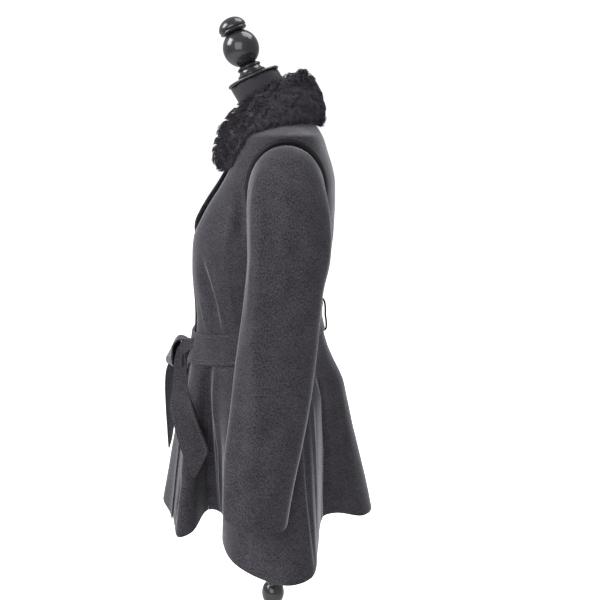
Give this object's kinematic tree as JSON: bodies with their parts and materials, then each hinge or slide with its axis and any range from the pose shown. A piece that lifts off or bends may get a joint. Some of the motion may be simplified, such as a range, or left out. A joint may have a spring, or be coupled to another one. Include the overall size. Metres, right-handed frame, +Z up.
{
  "type": "belted coat on dress form",
  "caption": "Charcoal wool flare coat with a tied belt and a black fur collar, standing on a limbless dress form with a turned finial and a pole stand.",
  "frame": {"origin": "centre of the stand base's flat underside, on the axis of the pole", "axes": "+Z up, -Y the way the wearer faces, +X to the wearer's left"},
  "size_m": [0.6658, 0.4257, 1.5665],
  "materials": {
    "charcoal_wool": "brushed heather wool, matt with a soft nap",
    "black_trim": "black satin-faced band, low sheen",
    "black_fur": "black curly fur in soft locks",
    "form_cover": "dark stretched jersey, matt",
    "black_wood": "turned, black gloss lacquer"
  },
  "bodies": {
    "root": {"armhole_band_L": "black_trim", "armhole_band_R": "black_trim", "belt_band": "charcoal_wool", "belt_bow_loop": "charcoal_wool", "belt_end_far": "charcoal_wool", "belt_end_near": "charcoal_wool", "belt_knot": "charcoal_wool", "belt_thread_loop": "charcoal_wool", "bodice_back": "charcoal_wool", "bodice_front_L": "charcoal_wool", "bodice_front_R": "charcoal_wool", "bodice_side_back_L": "charcoal_wool", "bodice_side_back_R": "charcoal_wool", "bodice_side_front_L": "charcoal_wool", "bodice_side_front_R": "charcoal_wool", "form_finial_ball": "black_wood", "form_finial_collar": "black_wood", "form_finial_top": "black_wood", "form_neck_cap": "black_wood", "form_torso": "form_cover", "fur_collar": "black_fur", "skirt_back": "charcoal_wool", "skirt_front_L": "charcoal_wool", "skirt_front_R": "charcoal_wool", "skirt_side_back_L": "charcoal_wool", "skirt_side_back_R": "charcoal_wool", "skirt_side_front_L": "charcoal_wool", "skirt_side_front_R": "charcoal_wool", "sleeve_top_L": "charcoal_wool", "sleeve_top_R": "charcoal_wool", "sleeve_under_L": "charcoal_wool", "sleeve_under_R": "charcoal_wool", "stand_base": "black_wood", "stand_knob": "black_wood", "stand_pole": "black_wood", "stand_pole_low": "black_wood"}
  },
  "joints": []
}
